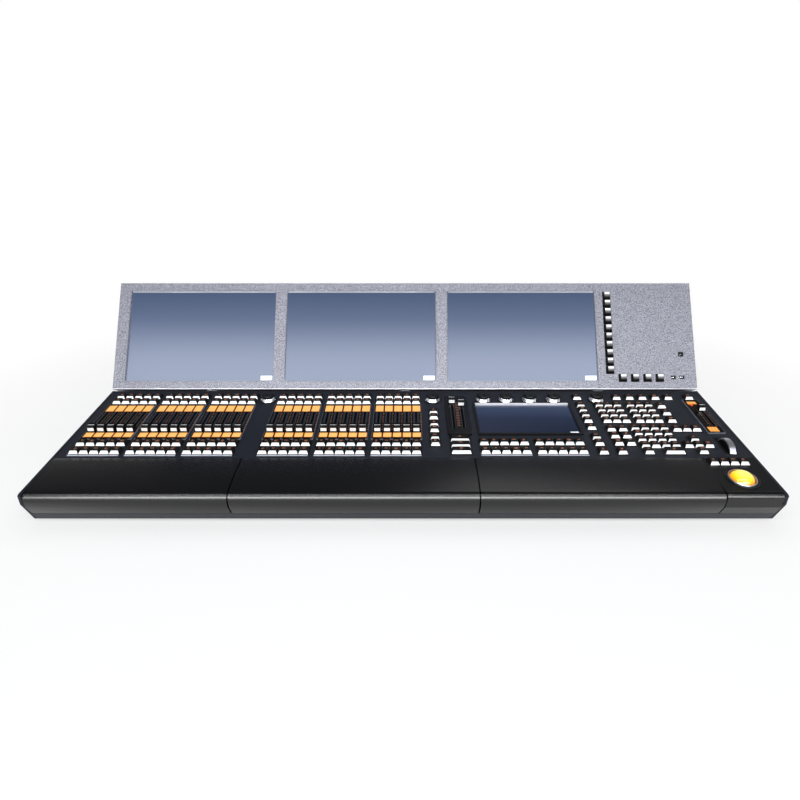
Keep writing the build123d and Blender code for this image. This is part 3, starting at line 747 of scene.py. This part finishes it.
def make_keys():
    """Every key of the panel and of the wing."""
    key_piece("playback_keys_left_caps", bank_keys(BANK_X[0]), PANEL, "playback_keys_left", "playback_keys_left")
    key_piece("playback_keys_right_caps", bank_keys(BANK_X[1]), PANEL, "playback_keys_right", "playback_keys_right")
    key_piece("command_key_caps", command_keys(), PANEL, "command_keys", "command_keys")
    key_piece("program_key_caps", program_keys(), PANEL, "program_keys", "program_keys")
    # the wing keys carry painted highlight and painted shade bands on their crowns instead of pale faces
    key_piece("wing_key_caps", WING_KEYS, WING, "wing_keys", "wing_keys", wing_crown_painted_light, False)


def make_fader_caps():
    """Fader caps with their pale fronts."""
    xs = playback_x()
    for number in range(len(BANK_X) * GROUPS):
        points = [(x, EXEC_REST, 0) for x in xs[number * GROUP:(number + 1) * GROUP]]
        cap_piece(f"playback_caps_{number + 1}", points, f"playback_fader_caps_{number + 1}")
    cap_piece("crossfader_a_cap", [(CROSS_X[0], CROSS_REST[0], 0)], "crossfader_cap_a")
    cap_piece("crossfader_b_cap", [(CROSS_X[1], CROSS_REST[1], 0)], "crossfader_cap_b")
    cap_piece("grand_master_slider", [(MASTER_X, MASTER_REST, 0)], "grand_master_cap")


def make_fader_scales():
    """Guide bars, scale marks and painted highlight lines on the rims of the fader frames."""
    tick = shapes().tick
    guides = []
    guide_sizes = []
    ticks = []
    tick_sizes = []
    middle = EXEC_REST + EXEC_TRAVEL / 2
    for x in playback_x():
        for side in (-1, 1):
            guides.append((x + side * 3.9, middle + 1.0, FRAME_H))
            guide_sizes.append((3.4, EXEC_TRAVEL + 5, 3.4))
        for i in range(11):
            ticks.append((x + PITCH / 2 - 0.2, EXEC_REST + 1 + 6 * i, FRAME_H))
            tick_sizes.append((3.6 if i % 5 == 0 else 2.4, tick, 1))
    for x in CROSS_X:
        for side in (-1, 1):
            guides.append((x + side * 3.1, 152.0, FRAME_H))
            guide_sizes.append((1.2, 108.0, 3.4))
    for i in range(15):
        ticks.append((sum(CROSS_X) / 2, 106 + 6.2 * i, FRAME_H))
        tick_sizes.append((6.4, tick * 1.3, 1))
    for side in (-1, 1):
        guides.append((MASTER_X + side * 3.2, 136.4, FRAME_H))
        guide_sizes.append((1.2, 68.0, 3.4))
    for i in range(11):
        for x in (MASTER_X - 7.6, MASTER_X + 6.6):
            ticks.append((x, 108 + 5.8 * i, FRAME_H))
            tick_sizes.append((2.6, tick, 1))
    piece("fader_guides", [repeated(guides, mark(guide_rail()), guide_sizes)], PANEL, "desk")
    piece("fader_scale_marks", [repeated(ticks, mark(legend_ink()), tick_sizes)], PANEL, "desk")

    for s0, s1 in LENS_S:
        def rim(bm):
            rect_ring(bm, -LENS_W / 2, LENS_W / 2, s0, s1, [(-0.25, 3.02), (-0.25, 3.6), (0.5, 3.6), (0.5, 3.52)])
        places = [(x + LENS_SHIFT, 0, 0) for x in playback_x()]
        row = "front" if s0 == LENS_S[0][0] else "back"
        piece(f"label_rims_{row}", [repeated(places, mesh_of(rim, label_rim(), 0))], PANEL, "desk")

    # painted highlight: a grey line round the rim of every fader frame
    section = [(0.4, 0.05), (0.4, 3.0), (0.55, 3.15), (0.9, 3.15), (0.9, 0.05)]

    def edges(bm):
        past, s0, s1 = BANK_FRAME
        for b in BANK_X:
            for group in range(GROUPS):
                x = b + group * GROUP_PITCH
                rect_ring(bm, x - past, x + (GROUP - 1) * PITCH + past, s0, s1, section)
        rect_ring(bm, *MASTER_FRAME, section)
    piece("fader_frame_edges", [mesh_of(edges, frame_painted_highlight(), 0.5)], PANEL, "desk")


def make_screens():
    """Lips round the screens, painted highlight strips along their edges, and their plain corner fields."""
    lip = shapes().lip
    section = [(-lip, 0.02), (-lip + 0.4, 0.45), (-0.4, 0.45), (0.9, -3.9), (0.05, -3.9), (0.05, 0.02)]

    def lips(bm):
        for x0, x1 in WINDOWS:
            rect_ring(bm, x0, x1, *WINDOW_T, section)
    piece("screen_lips", [mesh_of(lips, powder_coat(), 0.4)], WING, "monitor_wing")

    # painted highlight along the top lip of each wing window
    def glints(bm):
        for x0, x1 in WINDOWS:
            block(bm, x0 + 2, x1 - 2, WINDOW_T[1] - 2.4, WINDOW_T[1] - 0.95, -3.95, -0.6, 0.3)
    piece("screen_top_lips", [mesh_of(glints, painted_highlight_strip(), 0.5)], WING, "monitor_wing")

    def fields(bm):
        for x0, x1 in WINDOWS:
            block(bm, x1 - 28, x1 - 3, WINDOW_T[0] + 2, WINDOW_T[0] + 12, -3.99, -3.7)
    piece("wing_corner_fields", [mesh_of(fields, tab_white(), 0)], WING, "monitor_wing")

    # painted highlight along the wing's bottom edge, standing in for the reflection of the rail
    def foot(bm):
        block(bm, -644.5, 644.5, 0.15, 1.9, -0.5, 0.6, 0.25)
    piece("wing_front_edge", [mesh_of(foot, painted_highlight_strip(), 0.5)], WING, "monitor_wing")

    x0, x1, s0, s1 = SCREEN_SPAN

    def field(bm):
        block(bm, x1 - 20, x1 - 4, s0 + 4, s0 + 9, 0.02, 0.3)
    piece("command_corner_field", [mesh_of(field, tab_white(), 0)], PANEL, "desk")

    # painted highlight along the back edge of the command screen
    def rim(bm):
        block(bm, x0 + 1.6, x1 - 1.6, s1 - 6.4, s1 - 1.55, 0.05, 3.7, 0.5)
    piece("command_screen_lip", [mesh_of(rim, painted_highlight_strip(), 0.5)], PANEL, "desk")


def knob_dimple(x, y):
    """Depth of the finger dimple at a place on a knob's top."""
    far = sqrt(x**2 + (y + DIMPLE_AT)**2)
    return -DIMPLE_DEPTH * (0.5 + 0.5 * cos(pi * far / DIMPLE_R)) if far < DIMPLE_R else 0.0


def knob_skirt(bm):
    outline = [(0, 1.3), (16.0, 1.3), (16.4, 1.7), (16.2, 2.3), (14.9, 3.9), (13.9, 5.7), (13.3, 7.4), (0, 7.4)]
    lathe(bm, outline, 96)
    lathe(bm, [(0, -11.8), (2.9, -11.8), (2.9, 1.4), (0, 1.4)], 24)


def knob_cap(bm):
    outline = [(0, 7.3), (13.2, 7.3), (13.6, 7.8), (13.6, 12.0), (13.2, 13.2), (12.2, KNOB_TOP + 0.15)]
    rings = 13
    outline += [(12.2 * (1 - i / rings), KNOB_TOP) for i in range(1, rings)] + [(0, KNOB_TOP)]
    lathe(bm, outline, int(shapes().ribs) * 2, depth=0.25, ribbed=(2, 3), shift=knob_dimple)


def make_encoders():
    """Encoder knobs: bright skirt, black cap with a knurl and a finger dimple."""
    for number, x in enumerate(ENCODER_X, 1):
        at = PANEL @ Matrix.Translation((x, ENCODER_S, 0))
        meshes = [mesh_of(knob_skirt, bright_metal(), 0.5), mesh_of(knob_cap, black_abs(), 0.9)]
        node = f"encoder_knob_{number}"
        piece(f"encoder_{number}_turned_knob", meshes, at, node, (node,))


def make_trackball():
    """Ball, its bright ring and the dark groove round it."""
    def ball(bm):
        bmesh.ops.create_uvsphere(bm, u_segments=64, v_segments=40, radius=21.95)
    at = PANEL @ Matrix.Translation(BALL)
    piece("trackball_ball", [mesh_of(ball, ball_resin(), 3.0)], at, "trackball", ("trackball",))

    def ring(bm):
        outline = [(21.5, -2.9), (22.4, -2.9), (22.4, 0.2), (23.3, 0.2), (23.5, 1.2), (23.1, 1.9), (22.4, 2.2),
                   (21.8, 1.9), (21.5, 1.2), (21.5, -2.9)]
        lathe(bm, outline, 96)
        bmesh.ops.remove_doubles(bm, verts=bm.verts, dist=0.001)

    def groove(bm):
        outline = [(23.4, 0.02), (28.0, 0.02), (28.0, 0.9), (27.4, 1.5), (26.4, 1.2), (25.0, 0.6), (23.4, 0.6),
                   (23.4, 0.02)]
        lathe(bm, outline, 96)
        bmesh.ops.remove_doubles(bm, verts=bm.verts, dist=0.001)
    at = PANEL @ Matrix.Translation((BALL.x, BALL.y, 0))
    meshes = [mesh_of(ring, wheel_metal(), 0.7), mesh_of(groove, black_abs(), 0.7)]
    piece("trackball_bright_ring", meshes, at, "desk", ("trackball_ring",))


def make_level_wheel():
    """Bright rim on a black wheel, and the black well beside it."""
    def rim(bm):
        outline = [(26.5, -5.6), (29.2, -5.6), (29.9, -4.9), (29.9, 4.9), (29.2, 5.6), (26.5, 5.6), (26.5, -5.6)]
        lathe(bm, outline, int(shapes().ribs) * 2, depth=0.12, ribbed=(2, 3))
        bmesh.ops.remove_doubles(bm, verts=bm.verts, dist=0.001)

    def hub(bm):
        lathe(bm, [(0, -5.3), (26.6, -5.3), (26.6, 5.3), (0, 5.3)], 72)
        lathe(bm, [(0, -12.6), (2.95, -12.6), (2.95, 12.6), (0, 12.6)], 24)
    at = PANEL @ Matrix.Translation(WHEEL) @ Matrix.Rotation(pi / 2, 4, "Y")
    meshes = [mesh_of(rim, wheel_metal(), 0.4), mesh_of(hub, black_abs(), 0.4)]
    piece("level_wheel_rimmed", meshes, at, "level_wheel", ("level_wheel",))

    def well(bm):
        block(bm, 597.7, 603.9, WHEEL.y - 25.8, WHEEL.y + 25.8, -2.9, -2.3)
        rect_ring(bm, 595.5, 619.0, WHEEL.y - 28.0, WHEEL.y + 28.0, [(0, 0.02), (0.3, 0.5), (2.0, 0.5), (2.0, 0.02)])
    piece("level_wheel_well", [mesh_of(well, black_abs(), 0.5)], PANEL, "desk")


def armrest_mesh(x0, x1):
    """A crowned armrest with a rolled nose, between x0 and x1."""
    start = PANEL_ORIGIN - DESK_ORIGIN
    back_top = start.z + (ARMREST_BACK - start.y) * SLOPE
    crown = arc((ARMREST_BACK, back_top), ARMREST_CROWN, ROLL_START, 20)
    roll = bezier(ROLL_START, (5.1, 60.9), (0.05, 55.0), ROLL_END, 16)
    under = [Vector((1.7, 36.0)), Vector((11.6, ARMREST_LOW)), Vector((ARMREST_BACK, ARMREST_LOW))]
    outline = crown + roll[1:] + under

    def build(bm):
        rings = [[(x, p.x, p.y) for p in outline] for x in (x0, x1)]
        loft_rings(bm, rings)
        rim = [e for e in bm.edges if abs(e.verts[0].co.x - e.verts[1].co.x) < 0.01]
        bmesh.ops.bevel(bm, geom=rim, offset=0.9, segments=2, affect="EDGES", profile=0.6)
    return mesh_of(build, armrest_moulding(), 0.5)


def make_armrests():
    """Three crowned armrests along the front."""
    stops = (-ARMREST_END, *ARMREST_SEAMS)
    for name, x0, x1 in zip(("left", "middle", "right"), stops, stops[1:]):
        gap = 0.0 if x0 == -ARMREST_END else ARMREST_GAP
        node = f"armrest_{name}"
        meshes = [armrest_mesh(x0 + gap, x1 - ARMREST_GAP)]
        piece(f"{node}_moulding", meshes, DESK, "desk", (node,))


def make_small_marks():
    """Button marks, port tongues, and painted shade in the screw recesses."""
    def triangle(bm):
        rings = [[(603.6, 178.5, z), (608.4, 186.6, z), (598.8, 186.6, z)] for z in (FRAME_H, FRAME_H + 0.3)]
        loft_rings(bm, rings)
    piece("master_pointer", [mesh_of(triangle, red_mark(), 0)], PANEL, "desk")

    # black crosses on the screw heads: painted shade standing in for their cross recesses
    def recess(bm):
        block(bm, -2.0, 2.0, -0.35, 0.35, 0, 0.25)
        block(bm, -0.35, 0.35, -2.0, 2.0, 0, 0.25)
    points = [(x, *SCREW_ROW) for x in range(-600, 601, 120)]
    piece("screw_recesses", [repeated(points, mesh_of(recess, black_abs(), 0))], DESK, "desk")

    def tongues(bm):
        for x in (594.1, 613.3):
            block(bm, x - 3.0, x + 3.0, 26.4, 28.0, -12.2, -2.0, 0.2)
        bmesh.ops.create_uvsphere(bm, u_segments=16, v_segments=8, radius=1.6,
                                  matrix=Matrix.Translation((613.65, 79.1, -2.6)))
    piece("wing_socket_contacts", [mesh_of(tongues, bright_metal(), 0.6)], WING, "monitor_wing")


def mirror_ray(tree, path):
    """A value of one for a ray that a gloss or a glass has turned."""
    return add(tree, "ShaderNodeMath", {0: path.outputs["Is Glossy Ray"],
                                        1: path.outputs["Is Transmission Ray"]}, operation="MAXIMUM")


# name, place, aim, width, depth, power, seen by (matt, glossy) surfaces
LAMPS = (("lamp_roll", (0.0, -1.5, 0.72), (0, -0.26, 0.06), 3.2, 0.45, 75, (False, True)),
         ("lamp_nose", (0.0, -1.0, 1.35), (0, -0.26, 0.06), 3.2, 0.16, 22, (True, True)),
         ("lamp_front", (-0.3, -2.3, 1.0), (0, 0, 0.15), 3.0, 1.2, 10, (True, True)),
         ("lamp_top", (0.0, 0.5, 2.3), (0, 0, 0.1), 2.4, 1.4, 14, (True, False)),
         ("lamp_back", (0.9, 1.4, 2.4), (0, 0.1, 0.1), 1.6, 1.0, 7, (True, True)))
CAMERA_AT = (0.0122, -1.0348, 0.6001)
CAMERA_DOWN = 25.0
CAMERA_LENS = 24.75
CAMERA_SHIFT = -0.0131


def make_stage():
    """Pale floor, soft lamps, world and the camera."""
    scene = bpy.context.scene
    scene.view_settings.view_transform = "Standard"
    floor_mesh = bpy.data.meshes.new("floor")
    floor_mesh.from_pydata([(-9, -7, 0), (9, -7, 0), (9, 9, 0), (-9, 9, 0)], [], [(0, 1, 2, 3)])
    floor = bpy.data.objects.new("floor", floor_mesh)
    scene.collection.objects.link(floor)
    made = bpy.data.materials.new("studio_floor_paint")
    made.use_nodes = True
    tree = made.node_tree
    tree.nodes.clear()
    path = add(tree, "ShaderNodeLightPath")
    paint = add(tree, "ShaderNodeBsdfPrincipled", {"Base Color": linear("#e9eaec"), "Roughness": 0.85})
    glow = add(tree, "ShaderNodeEmission", {"Color": (1, 1, 1, 1), "Strength": 1.0})
    place = add(tree, "ShaderNodeTexCoord").outputs["Object"]
    far = add(tree, "ShaderNodeVectorMath", {0: place}, operation="LENGTH").outputs["Value"]
    fade = add(tree, "ShaderNodeMapRange", {"Value": far, "From Min": 0.5, "From Max": 1.3, "To Min": 0.55})
    mirrored = mirror_ray(tree, path)
    looked = add(tree, "ShaderNodeMath", {0: path.outputs["Is Camera Ray"], 1: mirrored.outputs[0]},
                 operation="MAXIMUM")
    seen = add(tree, "ShaderNodeMath", {0: looked.outputs[0], 1: fade.outputs["Result"]}, operation="MULTIPLY")
    mix = add(tree, "ShaderNodeMixShader", {0: seen.outputs[0], 1: paint.outputs[0], 2: glow.outputs[0]})
    end = add(tree, "ShaderNodeOutputMaterial")
    tree.links.new(mix.outputs[0], end.inputs[0])
    floor_mesh.materials.append(made)

    world = bpy.data.worlds.new("studio")
    scene.world = world
    world.use_nodes = True
    tree = world.node_tree
    tree.nodes.clear()
    path = add(tree, "ShaderNodeLightPath")
    mirrored = mirror_ray(tree, path)
    towards = add(tree, "ShaderNodeSeparateXYZ", {0: add(tree, "ShaderNodeTexCoord").outputs["Generated"]})
    ceiling = add(tree, "ShaderNodeMapRange", {"Value": towards.outputs["Z"], "From Min": 0.15, "From Max": 0.5,
                                               "To Min": 1.0, "To Max": 0.1})
    soft = add(tree, "ShaderNodeMix", {0: mirrored.outputs[0], 2: 0.3, 3: ceiling.outputs["Result"]})
    level = add(tree, "ShaderNodeMix", {0: path.outputs["Is Camera Ray"], 2: soft.outputs[0], 3: 1.0})
    mix = add(tree, "ShaderNodeBackground", {"Color": (1, 1, 1, 1), "Strength": level.outputs[0]})
    end = add(tree, "ShaderNodeOutputWorld")
    tree.links.new(mix.outputs[0], end.inputs[0])

    for name, place, aim, width, depth, power, (matt, gloss) in LAMPS:
        data = bpy.data.lights.new(name, "AREA")
        data.shape = "RECTANGLE"
        data.size = width
        data.size_y = depth
        data.energy = power
        lamp = bpy.data.objects.new(name, data)
        lamp.location = place
        lamp.visible_camera = False
        lamp.visible_diffuse = matt
        lamp.visible_glossy = gloss
        lamp.rotation_euler = (Vector(aim) - Vector(place)).to_track_quat("-Z", "Y").to_euler()
        scene.collection.objects.link(lamp)

    data = bpy.data.cameras.new("camera")
    data.lens = CAMERA_LENS
    data.sensor_width = 36.0
    data.shift_x = CAMERA_SHIFT
    data.clip_start = 0.01
    camera = bpy.data.objects.new("camera", data)
    camera.location = CAMERA_AT
    camera.rotation_euler = (radians(90 - CAMERA_DOWN), 0, 0)
    scene.collection.objects.link(camera)
    scene.camera = camera


# ------------------------------------------------------------ operators
class DESK_OT_paint_frame(bpy.types.Operator):
    """Give every shown node of the frame its finish"""
    bl_idname = "desk.paint_frame"
    bl_label = "Paint Frame"

    def execute(self, context):
        paint_cad()
        return {"FINISHED"}


class DESK_OT_make_armrests(bpy.types.Operator):
    """Make the crowned armrests along the front"""
    bl_idname = "desk.make_armrests"
    bl_label = "Make Armrests"

    def execute(self, context):
        make_armrests()
        return {"FINISHED"}


class DESK_OT_make_keys(bpy.types.Operator):
    """Make every key of the panel and of the wing"""
    bl_idname = "desk.make_keys"
    bl_label = "Make Keys"

    def execute(self, context):
        make_keys()
        return {"FINISHED"}


class DESK_OT_make_fader_caps(bpy.types.Operator):
    """Make the fader caps with their pale fronts"""
    bl_idname = "desk.make_fader_caps"
    bl_label = "Make Fader Caps"

    def execute(self, context):
        make_fader_caps()
        return {"FINISHED"}


class DESK_OT_make_fader_scales(bpy.types.Operator):
    """Make the guides, scale marks and painted highlight lines on the rims of the fader frames"""
    bl_idname = "desk.make_fader_scales"
    bl_label = "Make Fader Scales"

    def execute(self, context):
        make_fader_scales()
        return {"FINISHED"}


class DESK_OT_make_screens(bpy.types.Operator):
    """Make the lips round the screens, their painted highlight strips and their corner fields"""
    bl_idname = "desk.make_screens"
    bl_label = "Make Screens"

    def execute(self, context):
        make_screens()
        return {"FINISHED"}


class DESK_OT_make_encoders(bpy.types.Operator):
    """Make the encoder knobs"""
    bl_idname = "desk.make_encoders"
    bl_label = "Make Encoders"

    def execute(self, context):
        make_encoders()
        return {"FINISHED"}


class DESK_OT_make_trackball(bpy.types.Operator):
    """Make the trackball and its ring"""
    bl_idname = "desk.make_trackball"
    bl_label = "Make Trackball"

    def execute(self, context):
        make_trackball()
        return {"FINISHED"}


class DESK_OT_make_level_wheel(bpy.types.Operator):
    """Make the rimmed wheel and its well"""
    bl_idname = "desk.make_level_wheel"
    bl_label = "Make Level Wheel"

    def execute(self, context):
        make_level_wheel()
        return {"FINISHED"}


class DESK_OT_make_small_marks(bpy.types.Operator):
    """Make the pointer, the painted shade in the screw recesses and the socket contacts"""
    bl_idname = "desk.make_small_marks"
    bl_label = "Make Small Marks"

    def execute(self, context):
        make_small_marks()
        return {"FINISHED"}


class DESK_OT_make_stage(bpy.types.Operator):
    """Make the floor, lamps, world and camera"""
    bl_idname = "desk.make_stage"
    bl_label = "Make Stage"

    def execute(self, context):
        make_stage()
        return {"FINISHED"}


STEPS = [DESK_OT_paint_frame, DESK_OT_make_armrests, DESK_OT_make_keys, DESK_OT_make_fader_caps,
         DESK_OT_make_fader_scales, DESK_OT_make_screens, DESK_OT_make_encoders,
         DESK_OT_make_trackball, DESK_OT_make_level_wheel, DESK_OT_make_small_marks,
         DESK_OT_make_stage]


class DESK_PT_pieces(bpy.types.Panel):
    """Lists the desk's pieces and finishes."""
    bl_idname = "DESK_PT_pieces"
    bl_label = "Lighting Control Desk"
    bl_space_type = "VIEW_3D"
    bl_region_type = "UI"
    bl_category = "Desk"

    def draw(self, context):
        for step in STEPS:
            self.layout.operator(step.bl_idname)
        for group in (context.scene.desk_finish, context.scene.desk_shape):
            for name in group.__annotations__:
                self.layout.prop(group, name)


CLASSES = [DeskFinishSettings, DeskShapeSettings, *STEPS, DESK_PT_pieces]


def register():
    for item in CLASSES:
        bpy.utils.register_class(item)
    bpy.types.Scene.desk_finish = PointerProperty(type=DeskFinishSettings)
    bpy.types.Scene.desk_shape = PointerProperty(type=DeskShapeSettings)


def unregister():
    del bpy.types.Scene.desk_finish
    del bpy.types.Scene.desk_shape
    for item in reversed(CLASSES):
        bpy.utils.unregister_class(item)


def main():
    register()
    for step in STEPS:
        group, name = step.bl_idname.split(".")
        getattr(getattr(bpy.ops, group), name)()


if __name__ == "__main__":
    main()
